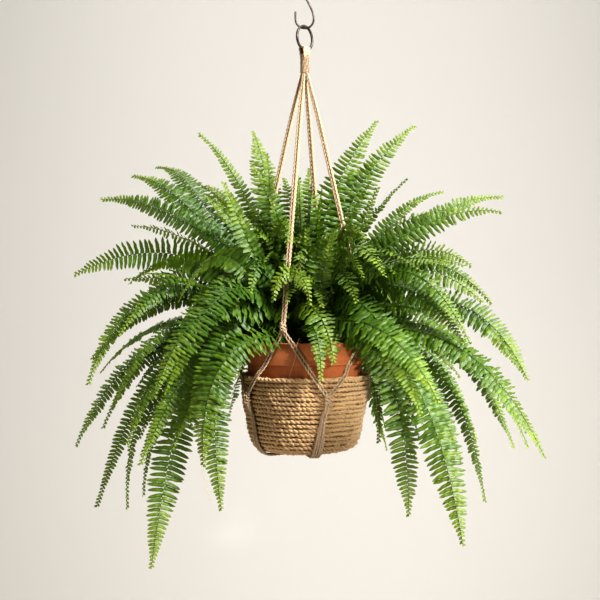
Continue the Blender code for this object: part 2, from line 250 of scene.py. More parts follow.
CORD = 4.4 * MM
CORD_LAY = 15 * MM  # length of one turn of the twist
TURN_STEPS = 7
PLY, PLY_REACH = 0.56, 0.22  # a ply's thickness and distance from the middle, by the cord's
TOUCHING = 1.25  # cords no farther apart than this many thicknesses touch


def smooth(points, spacing):
    """Points a spacing apart along a curve through the given ones."""
    whole = [2 * points[0] - points[1], *points, 2 * points[-1] - points[-2]]
    fine = []
    for a, b, c, d in zip(whole, whole[1:], whole[2:], whole[3:]):
        steps = max(1, math.ceil((c - b).length / spacing * 2))
        for step in range(steps):
            t = step / steps
            fine.append(((b * 2) + (c - a) * t + (a * 2 - b * 5 + c * 4 - d) * t**2
                         + (b * 3 - a - c * 3 + d) * t**3) / 2)
    fine.append(points[-1])
    even = [fine[0]]
    left = spacing
    for a, b in zip(fine, fine[1:]):
        step = (b - a).length
        while step > left:
            a = a + (b - a) * (left / step)
            even.append(a)
            step -= left
            left = spacing
        left -= step
    if (even[-1] - fine[-1]).length > spacing / 3:
        even.append(fine[-1])
    return even


def frames_along(points):
    """For each point of a route, two directions square to it, that turn with it."""
    across = (points[1] - points[0]).orthogonal().normalized()
    frames = []
    for index, point in enumerate(points):
        way = points[min(index + 1, len(points) - 1)] - points[max(index - 1, 0)]
        way.normalize()
        across = (across - way * across.dot(way)).normalized()
        frames.append((across, way.cross(across)))
    return frames


def always_full(point):
    return 1.0


def held(value):
    """The value, held between 0 and 1."""
    return min(1.0, max(0.0, value))


def search_tree(points):
    tree = kdtree.KDTree(len(points))
    for index, point in enumerate(points):
        tree.insert(point, index)
    tree.balance()
    return tree


def neighbours_of(places, thickness):
    """For each point of the cords' middles, the directions to the cords that touch it."""
    near = search_tree([point for point, _, _ in places])
    stretch = 2 * TURN_STEPS  # of a cord, which counts as one neighbour
    found = []
    for point, cord, step in places:
        nearest = {}
        for other, place, distance in near.find_range(point, thickness * TOUCHING):
            _, other_cord, other_step = places[place]
            if other_cord == cord and abs(other_step - step) < stretch:
                continue
            bucket = (other_cord, other_step // stretch)
            so_far, _ = nearest.get(bucket, (math.inf, None))
            if thickness * 0.2 < distance < so_far:
                nearest[bucket] = (distance, (other - point) / distance)
        found.append([way for _, way in nearest.values()])
    return found


def twisted_cords(routes, thickness, lay, slimness=always_full, uneven=0.1, pressed=0.4,
                  turn_steps=TURN_STEPS):
    """Two-ply cords along the routes, as one mesh.

    Its attribute "crest" is 1 on the outside of a cord, and falls to 0 in the grooves
    between its plies and where it lies against another cord. The jute material paints
    shade where the crest is low.
    """
    places, plies, outward = [], [], []
    for cord, route in enumerate(routes):
        points = smooth(route, lay / turn_steps)
        frames = frames_along(points)
        begin = len(places)
        places += [(point, cord, step) for step, point in enumerate(points)]
        for ply in (0.0, 0.5):
            line = []
            for index, (point, (across, above)) in enumerate(zip(points, frames)):
                angle = math.tau * (index / turn_steps + ply)
                turn = across * math.cos(angle) + above * math.sin(angle)
                share = slimness(point)
                loose = 1.0 + uneven * noise.noise(point * 160 + turn)
                line.append((point + turn * thickness * PLY_REACH * share * loose,
                             share * loose))
                outward.append((line[-1][0], turn, begin + index))
            plies.append(line)
    mesh = tube(plies, PLY * thickness, ROUND_YARN)
    touching = neighbours_of(places, thickness)
    near = search_tree([point for point, _, _ in outward])
    crest = mesh.attributes.new("crest", "FLOAT", "POINT")
    for vert, value in zip(mesh.vertices, crest.data):
        point, index, distance = near.find(vert.co)
        _, turn, place = outward[index]
        rise = 0.5 + 0.5 * (vert.co - point).dot(turn) / max(distance, MM / 10)
        out = (vert.co - places[place][0]).normalized()
        crowd = max((out.dot(way) for way in touching[place]), default=0.0)
        value.value = rise * held((0.97 - crowd) / pressed)
    return mesh


def jute_material(name, pale, dark, worn, groove_shade, groove_shade_width):
    """Twisted jute: slanting fibres along each ply, and painted shade between the plies."""
    made, shader, uv = new_material(name, "UV")
    slant = {"Vector": uv, "Rotation": (0.0, 0.0, 0.5), "Scale": (9.0, 2.2, 1.0)}
    fibre = uv.add("Mapping", {}, slant).cloud(3.0, 4.0, 0.7)
    stretch = {"Vector": uv, "Scale": (0.5, 0.9, 1.0)}
    patch = uv.add("Mapping", {}, stretch).cloud(2.0)
    wear = uv.on_object().cloud(14.0).clipped(0.35, 0.75) * 0.5
    straw = wear.mix((fibre * 0.62 + patch * 0.38).clipped(0.34, 0.64).mix(dark, pale), worn)
    uv.feed(shader, {
        # The groove colour is painted shade. It lies where the crest is low: in the grooves
        # between the plies, and where one cord lies against another.
        "Base Color": uv.attribute("crest").clipped(*groove_shade_width).mix(groove_shade, straw),
        "Roughness": 0.85,
        "Specular IOR Level": 0.25,
        "Sheen Weight": 0.25,
        "Sheen Roughness": 0.5,
        "Normal": fibre.bump(0.0008, 0.8),
    })
    return made


# The fourth colour is shade painted into the cord's grooves and where cords touch.
jute = jute_material("twisted jute cord", (0.59, 0.44, 0.295), (0.43, 0.30, 0.18),
                     (0.51, 0.37, 0.235), (0.24, 0.15, 0.09), (0.03, 0.40))

LOOPS = 8
LOOPS_ON_RING, LOOPS_AT_NECK = 4.2 * CORD, 2.9 * CORD  # how wide the eight lie in all
FOLD_STEPS = 6
neck_low, neck_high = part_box("neck_wrap")


def hanger_piece(name, routes, node, **finish):
    """Cords of the hanger, as one piece."""
    mesh = twisted_cords(routes, CORD, CORD_LAY, **finish)
    piece(name, mesh, jute, "jute_cord", node)


clear = ROD / 2 + CORD / 2 + 0.2 * MM
inside_neck = neck_high.z - 9 * MM
loops = []
for place in range(LOOPS):
    offset = (place - (LOOPS - 1) / 2) / LOOPS
    side = offset * LOOPS_ON_RING
    sag = ring_radius - math.sqrt(ring_radius**2 - side**2)
    bottom = ring_centre.z - ring_radius + sag
    fold = []
    for step in range(FOLD_STEPS + 1):
        angle = math.pi * (1 - step / FOLD_STEPS)
        across = through_ring * clear * math.cos(angle)
        fold.append(along_ring * side + across + UP * (bottom + clear * math.sin(angle)))
    pinched = along_ring * offset * LOOPS_AT_NECK + UP * inside_neck
    ends = [pinched + through_ring * clear * reach for reach in (-0.8, 0.8)]
    loops.append([ends[0], *fold, ends[1]])
hanger_piece("folded_cords", loops, "neck_loops")

# --- Whipping ---------------------------------------------------------------------------
# The whipping is a thinner jute cord, wound tightly round the sixteen ends from top to
# bottom, with its own ends tucked in.

WHIP, WHIP_LAY = 2.7 * MM, 11 * MM
WIND_STEPS = 20
TUCKED = 4  # steps at either end, where the cord dives under its own turns
turns = round((neck_high.z - neck_low.z) / WHIP)
lead = (neck_high.z - neck_low.z - WHIP) / turns
last = turns * WIND_STEPS
winding = []
for step in range(last + 1):
    angle = math.tau * step / WIND_STEPS
    reach = neck_high.x - WHIP / 2
    if step < TUCKED or step > last - TUCKED:
        reach -= WHIP / 2
    level = neck_high.z - WHIP / 2 - lead * step / WIND_STEPS
    winding.append(Vector((reach * math.cos(angle), reach * math.sin(angle), level)))
mesh = twisted_cords([winding], WHIP, WHIP_LAY)
piece("neck_whipping", mesh, jute, "jute_cord", "neck_wrap")

# --- Four upper strands -----------------------------------------------------------------
# Below the whipping the ends part into four strands of four cords, two by two. Each strand
# ends above the pot's rim in a knot, where one pair of cords is wound round the rest.

SIDES = ("front", "right", "back", "left")
UPPER_TURN = (-19, 71, 161, 251)  # azimuths of the upper knots, in degrees
KNOT_REACH = 112 * MM
KNOT_TOP = -631 * MM
KNOT_RADIUS = 6.8 * MM
NECK_REACH = 6.5 * MM
SQUEEZED = 90 * MM  # of a strand below the whipping
PAIRS = ((-0.5, -0.5), (0.5, -0.5), (0.5, 0.5), (-0.5, 0.5))  # four cords, by thickness
WOUND_STEPS, WOUND_FROM = 16, -0.3  # steps in a turn, and where round the strand it starts
DIVE_STEPS = 3


def around(azimuth, reach, height, right=0.0):
    """The point at this reach from the axis; azimuth 0 is the front, 90 the right.

    It may also lie to the right of there, as seen from outside.
    """
    angle = math.radians(azimuth)
    return Vector((reach * math.sin(angle) + right * math.cos(angle),
                   right * math.sin(angle) - reach * math.cos(angle), height))


def wound(reach, azimuth, top, bottom, turns, slant):
    """A pair of cords wound round a strand as a knot, side by side, on a slant."""
    steps = round(turns * WOUND_STEPS)
    routes = []
    for cord in (0.5, 1.5):
        route = []
        for step in range(steps + 1):
            angle = math.tau * (step / WOUND_STEPS + WOUND_FROM)
            dive = min(1.0, step / DIVE_STEPS, (steps - step) / DIVE_STEPS)
            radius = (KNOT_RADIUS - CORD / 2) * (0.35 + 0.65 * dive)
            drop = (top - bottom - CORD * 2) * step / steps + CORD * cord
            right = radius * math.sin(angle)
            route.append(around(azimuth, reach + radius * math.cos(angle),
                                top - drop - slant * right, right))
        routes.append(route)
    return routes


def near_top(height):
    """1 at the whipping, falling to 0 where a strand is no longer squeezed."""
    return held(1 - (neck_low.z - height) / SQUEEZED)


def near_neck(point):
    """Cords are pulled thinner where the whipping squeezes them."""
    return 1.0 - 0.28 * near_top(point.z)


for side, azimuth in zip(SIDES, UPPER_TURN):
    low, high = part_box(f"hanger_strand_{side}")
    slope = (KNOT_REACH - NECK_REACH) / (high.z - (KNOT_TOP + low.z) / 2)
    stations = ((high.z + 6 * MM, 0.5), (high.z - 4 * MM, 0.6), (high.z - 30 * MM, 0.8),
                (high.z - 90 * MM, 0.95), (-400 * MM, 0.97), (KNOT_TOP + 14 * MM, 0.95),
                (KNOT_TOP, 0.6), (low.z + 3 * MM, 0.6))  # height, and how open it is there
    cords = []
    for across, deep in PAIRS:
        route = []
        for height, spread in stations:
            reach = NECK_REACH + slope * (high.z - height) - 2 * MM * near_top(height)
            route.append(around(azimuth, reach + deep * spread * CORD, height,
                                across * spread * CORD))
        cords.append(route)
    cords += wound(KNOT_REACH, azimuth, KNOT_TOP, low.z, turns=2.0, slant=0.55)
    hanger_piece(f"upper_strand_{side}", cords, f"hanger_strand_{side}", slimness=near_neck)

# --- Eight pairs of cords round the pot -------------------------------------------------
# From each upper knot two pairs of cords part to the left and right. They lie against the
# pot's rim and the basket's top, and meet the pairs from the next knots.

LOWER_TURN = (19, 108, 204, 304)  # azimuths of the lower knots
LOWER_REACH = 118.4 * MM
LEG_SPLIT = 3.4 * MM  # from the middle of a knot to the pair that leaves it
LEG_LAY = ((109.8, -664), (108, -676), (107.6, -690), (107.9, -702), (111, -712),
           (115.2, -720), (117.4, -740))  # reach and height, over the rim and the basket
INTO_KNOT = 5 * MM
for index, side in enumerate(SIDES):
    for other, sign, name in ((index, 1, "right"), ((index - 1) % 4, -1, "left")):
        node = f"net_leg_{side}_{name}"
        low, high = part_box(node)
        begin = UPPER_TURN[index]
        end = LOWER_TURN[other]
        end += 360 * round((begin - end) / 360)
        begin += sign * math.degrees(LEG_SPLIT / KNOT_REACH)
        end -= sign * math.degrees(LEG_SPLIT / LOWER_REACH)
        stations = [(KNOT_REACH, high.z + INTO_KNOT, 0.7), (KNOT_REACH, high.z, 0.8)]
        stations += [(reach * MM, height * MM, 1.05) for reach, height in LEG_LAY]
        stations += [(LOWER_REACH, low.z, 0.8), (LOWER_REACH, low.z - INTO_KNOT, 0.7)]
        middle_line = []
        for reach, height, _ in stations:
            turn = begin + (end - begin) * held((high.z - height) / (high.z - low.z))
            middle_line.append(around(turn, reach, height))
        pair = []
        for half in (-0.5, 0.5):
            route = []
            for place, (point, (_, _, spread)) in enumerate(zip(middle_line, stations)):
                before = middle_line[max(place - 1, 0)]
                after = middle_line[min(place + 1, len(middle_line) - 1)]
                level = (after - before).cross(Vector((point.x, point.y, 0.0))).normalized()
                route.append(point + level * half * spread * CORD)
            pair.append(route)
        hanger_piece(f"net_cords_{side}_{name}", pair, node)

# --- Terracotta pot ---------------------------------------------------------------------
# The pot is thrown clay, fired and not glazed, with a deep rolled rim and a drain hole.
# Its corners are soft, and it is a little paler where lime has dried on it.

# The pot's profile, as radius and height: up the outside, over the rim and down the inside
POT = ((10, -848.8), (66, -848.8), (69.5, -848), (71.5, -845.6), (100.2, -726),
       (100.6, -706.2), (101, -704.9), (103.8, -704.6), (104.8, -703.6), (105, -669.5),
       (104.6, -667.2), (103.2, -666.1), (99.6, -666), (97.6, -666.8), (97, -669.5),
       (95.6, -700), (64.5, -836), (61.5, -838.8), (10, -838.8))


def mesh_of(shape, closed=False):
    """The finished shape, as a mesh. A closed one has its faces turned outwards."""
    if closed:
        bmesh.ops.recalc_face_normals(shape, faces=shape.faces[:])
    mesh = bpy.data.meshes.new("shape")
    shape.to_mesh(mesh)
    shape.free()
    return mesh


shape = bmesh.new()
corners = [shape.verts.new((radius * MM, 0.0, height * MM)) for radius, height in POT]
edges = [shape.edges.new(pair) for pair in zip(corners, corners[1:] + corners[:1])]
bmesh.ops.spin(shape, geom=corners + edges, cent=(0, 0, 0), axis=(0, 0, 1),
               angle=math.tau, steps=144, use_merge=True)
bmesh.ops.remove_doubles(shape, verts=shape.verts[:], dist=0.005 * MM)
mesh = mesh_of(shape, closed=True)
mesh.shade_smooth()
mesh.set_sharp_from_angle(angle=math.radians(38))

clay, shader, where = new_material("unglazed terracotta")
fine = where.cloud(900.0, 4.0)
grain = where.cloud(160.0, 5.0)
bands = where.add("Mapping", {}, {"Vector": where, "Scale": (1.0, 1.0, 9.0)})
thrown = bands.cloud(9.0, 4.0)
bloom = where.cloud(13.0, 5.0, 0.65)
body = (grain * 0.5 + thrown * 0.5).clipped(0.3, 0.7)
red = body.mix((0.44, 0.145, 0.052), (0.57, 0.215, 0.09))
where.feed(shader, {
    "Base Color": (bloom.clipped(0.55, 0.9) * 0.35).mix(red, (0.68, 0.36, 0.21)),
    "Roughness": 0.72 + 0.2 * fine,
    "Specular IOR Level": 0.35,
    "Normal": (fine * 0.4 + thrown * 1.2 + grain * 0.5).bump(0.0008, 0.6),
})
piece("clay_pot", mesh, clay, "terracotta", "terracotta_pot")

# --- Coiled basket ----------------------------------------------------------------------
# The basket is one long two-ply jute rope, coiled from the middle of its base up to the
# pot's shoulder, each round sewn to the one below. The rows are a little uneven.

# The basket's profile, as radius and height: down the side and in to the middle
BASKET_OUTSIDE = [Vector((radius * MM, 0.0, height * MM)) for radius, height in (
    (110.8, -724.4), (112.4, -727.5), (111.2, -767), (106.5, -790), (103, -809),
    (99.5, -829), (94.5, -843), (86.5, -852), (74, -857.3), (4, -857.3))]
ROPE, ROPE_LAY = 8.7 * MM, 16 * MM
ROW = 7.65 * MM  # from one round of the rope to the next, which press into each other
COIL_STEP = 6 * MM  # between points of the coil
WIDEST_TURN = 0.22  # radians from one point to the next, in the middle of the base


def beside(line, distance):
    """The line's inner points, moved square to it by a distance, inwards if positive."""
    moved = []
    for before, point, after in zip(line, line[1:], line[2:]):
        way = (after - before).normalized()
        moved.append(point + Vector((way.z, 0.0, -way.x)) * distance)
    return moved


profile = smooth(BASKET_OUTSIDE[:-1], 1 * MM)
while profile[-1].x > BASKET_OUTSIDE[-1].x:
    profile.append(profile[-1] - Vector((1 * MM, 0.0, 0.0)))
inset = beside(profile, ROPE / 2)
run = [0.0]
for a, b in zip(inset, inset[1:]):
    run.append(run[-1] + (b - a).length)


def on_profile(distance):
    """The rope's radius and height this far along the basket's profile."""
    index = min(range(len(run)), key=lambda i: abs(run[i] - distance))
    index = min(max(index, 1), len(run) - 2)
    if run[index] > distance:
        index -= 1
    share = (distance - run[index]) / (run[index + 1] - run[index])
    point = inset[index].lerp(inset[index + 1], share)
    return point.x, point.z


spiral = []
distance, angle = -0.35 * ROW, math.pi * 0.9
while distance < run[-1] - ROW / 2:
    radius, level = on_profile(max(0.0, distance))
    here = Vector((radius * math.sin(angle), -radius * math.cos(angle), level))
    wander = noise.noise(here * 30) * 1.2 * MM + noise.noise(here * 110) * 0.7 * MM
    bulge = around(math.degrees(angle), noise.noise(here * 70 + UP) * 0.5 * MM, 0.0)
    spiral.append(here + UP * wander + bulge)
    step = min(WIDEST_TURN, COIL_STEP / max(radius, 4 * MM))
    angle += step
    distance += step / math.tau * ROW

# The fourth colour is shade painted into the rope's grooves and between its rows.
rope = jute_material("coiled jute rope", (0.78, 0.54, 0.30), (0.39, 0.24, 0.11),
                     (0.58, 0.39, 0.205), (0.22, 0.125, 0.06), (0.04, 0.44))
mesh = twisted_cords([spiral], ROPE, ROPE_LAY, uneven=0.5, pressed=0.1, turn_steps=5)
piece("coiled_rope", mesh, rope, "basket_jute", "jute_basket")

# --- Four lower strands -----------------------------------------------------------------
# Where two pairs meet, they are knotted again, and the four cords run down the basket side
# by side and under it, to the knot that takes the load.

LOWER_DRIFT = (-7, 4, -5, 0)  # how far round each strand has gone at its foot
LOWER_KNOT = 18 * MM
FAN = (-1.5, 1.5, 0.5, -0.5)  # the four cords' places side by side, once they are flat
OPENING = 14 * MM  # below its knot, where a strand starts to lie flat
base_low, base_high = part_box("base_knot")
clear_of_rope = beside(smooth(BASKET_OUTSIDE, 9 * MM), -(0.5 * MM + CORD / 2))
for side, azimuth, drift in zip(SIDES, LOWER_TURN, LOWER_DRIFT):
    low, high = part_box(f"basket_strand_{side}")
    bottom = high.z - LOWER_KNOT
    flat_from = bottom - OPENING
    laid = [(LOWER_REACH, high.z + 2 * MM, 0.0), (LOWER_REACH, bottom + 2 * MM, 0.0),
            (LOWER_REACH - 3 * MM, bottom - 7 * MM, 0.15)]
    for point in clear_of_rope:
        if point.z < flat_from and point.x > base_high.x - 3 * MM:
            opened = (flat_from - point.z) / (flat_from - low.z)
            laid.append((point.x, point.z, 0.3 + 0.6 * min(1.0, 1.3 * opened)))
    cords = []
    for (across, deep), fan in zip(PAIRS, FAN):
        route = []
        for reach, level, spread in laid:
            share = min(1.0, (high.z - level) / (high.z - low.z))
            turn = azimuth + drift * share
            bundled = 0.8 * (1 - spread)
            route.append(around(turn, reach + deep * bundled * CORD, level,
                                (across * bundled + fan * spread) * CORD))
        cords.append(route)
    cords += wound(LOWER_REACH, azimuth, high.z, bottom, turns=1.6, slant=0.6)
    hanger_piece(f"lower_strand_{side}", cords, f"basket_strand_{side}")

KNOT_STEPS, CORE_STEPS = 96, 40
knot_level = (base_low.z + base_high.z) / 2
knot = []
for step in range(KNOT_STEPS + 1):
    turn = 2 * step / KNOT_STEPS  # twice round, over and under three times
    wave = 1.5 * math.tau * turn
    knot.append(around(360 * turn, (12.4 + 4.6 * math.cos(wave)) * MM,
                       knot_level + 2.3 * MM * math.sin(wave)))
core = [around(900 * step / CORE_STEPS, (3 + 5 * step / CORE_STEPS) * MM, knot_level)
        for step in range(CORE_STEPS)]
hanger_piece("knot_under_basket", [knot, core], "base_knot")

# --- Potting soil -----------------------------------------------------------------------
# The soil is dark damp peat with a rough top, strewn with crumbs of peat and bark. It
# fills the pot to a finger's breadth under the rim.

_, soil_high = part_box("potting_soil")
CRUMBS = 420
SKIRT = 12 * MM  # how deep the drawn soil goes; the rest is out of sight
chance = random.Random(4)


def boundary(shape):
    return [edge for edge in shape.edges if edge.is_boundary]


def drawn_out(shape, edges, way):
    """Extrudes the edges by a vector."""
    made = bmesh.ops.extrude_edge_only(shape, edges=edges)["geom"]
    verts = [item for item in made if isinstance(item, bmesh.types.BMVert)]
    bmesh.ops.translate(shape, verts=verts, vec=way)


shape = bmesh.new()
bmesh.ops.create_grid(shape, x_segments=70, y_segments=70, size=soil_high.x)
outside = [vert for vert in shape.verts if vert.co.length > soil_high.x * 0.985]
bmesh.ops.delete(shape, geom=outside, context="VERTS")
for vert in shape.verts:
    rough = noise.fractal(vert.co * 60, 1.0, 2.0, 4)
    vert.co.z = soil_high.z - 2.5 * MM + 2.4 * MM * rough
drawn_out(shape, boundary(shape), (0, 0, -SKIRT))
bmesh.ops.contextual_create(shape, geom=boundary(shape))
for crumb in range(CRUMBS):
    reach = soil_high.x * 0.94 * math.sqrt(chance.random())
    place = around(chance.uniform(0, 360), reach, soil_high.z - 2 * MM)
    size = chance.uniform(1, 2.8) * MM
    grit = bmesh.ops.create_icosphere(shape, subdivisions=1, radius=size)["verts"]
    squash = Matrix.Diagonal((1.0, chance.uniform(0.5, 0.9), chance.uniform(0.4, 0.7), 1.0))
    turn = Matrix.Rotation(chance.uniform(0, 6.3), 4, "Z")
    bmesh.ops.transform(shape, matrix=Matrix.Translation(place) @ turn @ squash, verts=grit)
peat, shader, where = new_material("damp peat")
crumbs = where.cloud(240.0, 5.0)
where.feed(shader, {
    "Base Color": crumbs.clipped(0.35, 0.7).mix((0.010, 0.006, 0.004), (0.06, 0.034, 0.018)),
    "Roughness": 0.92,
    "Normal": where.cloud(700.0, 4.0).bump(0.0015, 0.9),
})
piece("peat", mesh_of(shape, closed=True), peat, "potting_soil", "potting_soil")

# --- Crown ------------------------------------------------------------------------------
# The crown is the tuft at the plant's foot: a mound of short brown stalk bases covered in
# papery scales, from which every frond grows.

CROWN_RADIUS, CROWN_HEIGHT = 38.0, 26.0  # in millimetres, as are all fronds' measures
SCALES = 260


def crown_outline(angle):
    """Point and outward direction on the tuft's dome, in a vertical plane."""
    point = Vector((CROWN_RADIUS * math.cos(angle), CROWN_HEIGHT * math.sin(angle)))
    outward = Vector((math.cos(angle) / CROWN_RADIUS, math.sin(angle) / CROWN_HEIGHT))
    return point, outward.normalized()


crown_low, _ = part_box("fern_crown")
shape = bmesh.new()
bmesh.ops.create_uvsphere(shape, u_segments=40, v_segments=20, radius=1.0)
bmesh.ops.bisect_plane(shape, geom=shape.verts[:] + shape.edges[:] + shape.faces[:],
                       plane_co=(0, 0, 0), plane_no=(0, 0, -1), clear_outer=True)
bmesh.ops.contextual_create(shape, geom=boundary(shape))
for vert in shape.verts:
    swell = 0.9 + 0.1 * noise.noise(vert.co * 5)
    vert.co = Vector((vert.co.x * CROWN_RADIUS, vert.co.y * CROWN_RADIUS,
                      vert.co.z * CROWN_HEIGHT)) * swell * MM + UP * crown_low.z
for scale in range(SCALES):
    rise = math.radians(chance.uniform(4, 80))
    turn = chance.uniform(0, 360)
    point, outward = crown_outline(rise)
    foot = around(turn, point.x * 0.93 * MM, crown_low.z + point.y * 0.9 * MM)
    way = around(turn, outward.x, outward.y + 0.5).normalized()
    made = bmesh.ops.create_cone(shape, cap_ends=True, segments=4, radius1=1.3 * MM,
                                 radius2=0.2 * MM, depth=chance.uniform(5, 9) * MM)
    stand = way.to_track_quat("Z", "Y").to_matrix().to_4x4()
    bmesh.ops.transform(shape, matrix=Matrix.Translation(foot) @ stand, verts=made["verts"])
tuft, shader, where = new_material("scaly tuft")
where.feed(shader, {
    "Base Color": where.cloud(180.0).clipped(0.35, 0.65).mix((0.05, 0.028, 0.012),
                                                              (0.19, 0.12, 0.05)),
    "Roughness": 0.85,
    "Normal": where.cloud(600.0).bump(0.001, 0.8),
})
piece("crown_tuft", mesh_of(shape, closed=True), tuft, "fern_crown", "fern_crown")

# --- Fronds -----------------------------------------------------------------------------
# Each frond is one leaf: a wiry pale stalk with some thirty pairs of leaflets, which are
# toothed, eared at the foot and curved towards the tip. They grow from the tuft and arch
# over under their own weight, and the youngest leaflets at the tip are small and pale.

# A frond arches from the crown through a point halfway to its tip. Reach is from the pot's
# axis, height from the soil, and the half width is that of the blade. The facing says how
# far it turns to the light, and the flick how far its tip is bent out.
Frond = namedtuple("Frond", "azimuth tip_reach tip_height mid_reach mid_height half_width "
                            "facing flick", defaults=(0.8, 0))
FRONDS = [Frond(*row) for row in (
    (-175, 330, -140, 220, 40, 28), (-170, 60, 310, 30, 190, 12),
    (-170, 330, 250, 170, 220, 26), (-155, 380, -80, 240, 80, 30),
    (-150, 200, 415, 90, 245, 32, 1.0), (-140, 400, -160, 260, 30, 28),
    (-130, 390, 355, 205, 265, 36, 1.1), (-115, 365, 325, 195, 240, 24, 0.9),
    (-100, 380, 270, 200, 215, 21, 1.2), (-95, 375, -285, 240, -18, 18, 1.0, 35),
    (-85, 400, 130, 200, 160, 30, -0.9), (-80, 395, -160, 250, 15, 20, 0.8, 20),
    (-75, 375, -55, 245, 100, 22, 0.8, -20), (-75, 270, -370, 190, -45, 32, 0.8, 45),
    (-55, 170, -265, 165, -15, 26, 0.8, 10), (-45, 330, -65, 205, 80, 34),
    (-40, 250, -175, 205, 0, 32), (10, 150, -45, 120, 45, 16), (40, 315, -70, 185, 50, 32),
    (45, 340, -290, 225, 0, 34, 0.8, 15), (50, 220, -265, 175, -20, 28, 0.8, 15),
    (60, 430, -160, 270, 20, 32, 0.8, 20), (75, 340, 235, 185, 195, 30, 0.9),
    (75, 315, -255, 225, -25, 20, 0.8, 25), (80, 325, 80, 180, 150, 18, 0.9),
    (82, 385, -50, 245, 85, 28), (100, 370, 275, 200, 215, 20, 1.0),
    (105, 265, 285, 145, 215, 16, 1.0), (115, 150, -175, 130, 10, 14, 0.8, 15),
    (120, 240, 415, 100, 260, 31, 0.95), (130, 390, 40, 220, 130, 28),
    (130, 180, 425, 60, 245, 36, 0.95), (140, 340, -240, 230, -10, 28, 0.8, 10),
    (155, 380, -90, 240, 70, 30), (180, 360, 60, 200, 150, 28),
)]
SOIL_TOP = -680.7
# These fronds are given a darker green as painted shade.
SHADED_FRONDS = (7, 8, 9, 11)  # the darkest fronds, counted from 1
ERECT = 200  # a tip higher than this grows from the middle of the tuft
TOWARDS_LIGHT = Vector((0.1, -0.9, 0.42)).normalized()
FINE = 60  # steps along a frond's centre line
PITCH = 8.3 * MM  # between leaflets along one side of a broad frond's stalk
LEAF_REACH = 1.07 * MM  # a leaflet's length for each millimetre of a frond's half width
FIRST_LEAFLET, LAST_LEAFLET = 0.07, 0.997  # shares of the way along the frond
SHORTEST, CLOSEST = 5.5 * MM, 6.5 * MM  # leaflets at the tip, and from one to the next
LEAFLET_TILT = 18  # degrees, which makes the leaflets overlap like tiles
STALK, STALK_TAPER = 2.5 * MM, 0.76


def leaflet(steps, bend, fold, curl, wave):
    """A leaflet one unit long and wide: eared, finely toothed, and curved to the tip.

    It comes with a copy whose faces point the other way, for a mirrored place.
    """
    shape = bmesh.new()
    shape.loops.layers.uv.new("UVMap")
    bmesh.ops.create_grid(shape, x_segments=steps, y_segments=2, size=0.5, calc_uvs=True)
    for vert in shape.verts:
        along = vert.co.x + 0.5
        across = vert.co.y * 2
        tooth = 1.0 - 0.08 * (round(along * steps) % 2)
        width = min(1.0, 0.4 + 6 * along) * (1 - 0.16 * along) * (1.01 - along**5) ** 0.65
        if across > 0:
            width += 0.36 * math.exp(-((along - 0.1) / 0.07) ** 2)
        vert.co.x = along - 0.1 * bend * along**2
        vert.co.y = across * 0.5 * width * tooth + bend * along**1.8
        vert.co.z = (-fold * across**2 * width - curl * along**2.2
                     + 0.035 * math.sin(14 * along + wave) * abs(across))
    mirrored = shape.copy()
    bmesh.ops.reverse_faces(mirrored, faces=mirrored.faces[:])
    return mesh_of(shape), mesh_of(mirrored)


KINDS = range(8)
flat_leaflets, plain_leaflets = (
    [leaflet(steps, 0.12 + 0.08 * (kind % 4), 0.05 + 0.02 * (kind % 3), 0.02 + 0.025 * kind,
             2.1 * kind) for kind in KINDS] for steps in (12, 8))
curly_leaflets = [leaflet(8, 0.4 + 0.15 * (kind % 4), 0.10 + 0.03 * (kind % 3),
                          0.15 + 0.06 * kind, 2.1 * kind) for kind in KINDS]


def frond_bases(fronds):
    """For each frond, the azimuth and the angle up the dome where its stalk starts."""
    bases = {}
    for erect in (False, True):
        ranks = [i for i, frond in enumerate(fronds) if (frond.tip_height > ERECT) == erect]
        for place, index in enumerate(ranks):
            turn = -180 + 360 * (place + 0.5) / len(ranks)
            bases[index] = (turn, math.radians(62 if erect else 25))
    return bases


def frond_point(frond, base, t):
    """A frond's centre line: an arch in reach and height that swings to its azimuth."""
    start, outward = crown_outline(base[1])
    start = start + outward * 0.3
    tip = Vector((frond.tip_reach - frond.flick, frond.tip_height))
    bend = 2 * Vector((frond.mid_reach, frond.mid_height)) - (start + tip) / 2
    reach, height = start * (1 - t) ** 2 + bend * 2 * t * (1 - t) + tip * t**2
    reach += frond.flick * t**4
    azimuth = frond.azimuth + (base[0] - frond.azimuth) * (1 - t) ** 2
    return around(azimuth, reach * MM, (SOIL_TOP + height) * MM)


def blade_profile(share, plump):
    """How much of its full half width a frond has, this share of the way along."""
    rise = held((share - 0.04) / 0.25) ** 0.55
    full = 0.5 + 0.12 * plump
    fall = 1.0 if share < full else 1 - ((share - full) / (1 - full)) ** (1.5 + 0.6 * plump)
    return rise * fall


def spacing_on(frond):
    """The spacing of leaflets along one side of a frond, and how much of it they fill.

    Broad fronds that rise are the airiest, and those that hang far down are open too.
    """
    rising = held((frond.tip_height + 50) / 250)
    hanging = held((-120 - frond.tip_height) / 130)
    pitch = PITCH * min(1.1, 0.72 + frond.half_width / 80)
    fill = 1.02 - 0.3 * rising * min(1.0, frond.half_width / 30) - 0.13 * hanging
    return pitch * (1.0 + 0.32 * rising + 0.22 * hanging), fill


def turned_to_light(side, way, facing, winding):
    """A frond's sideways direction, turned about its stalk towards the light."""
    above = side.cross(way)
    lit = (TOWARDS_LIGHT - way * TOWARDS_LIGHT.dot(way)).normalized()
    turn = math.atan2(above.cross(lit).dot(way), above.dot(lit))
    turn *= facing * held(3.0 - abs(math.degrees(turn)) / 50)
    return Matrix.Rotation(turn + math.radians(winding), 3, way) @ side


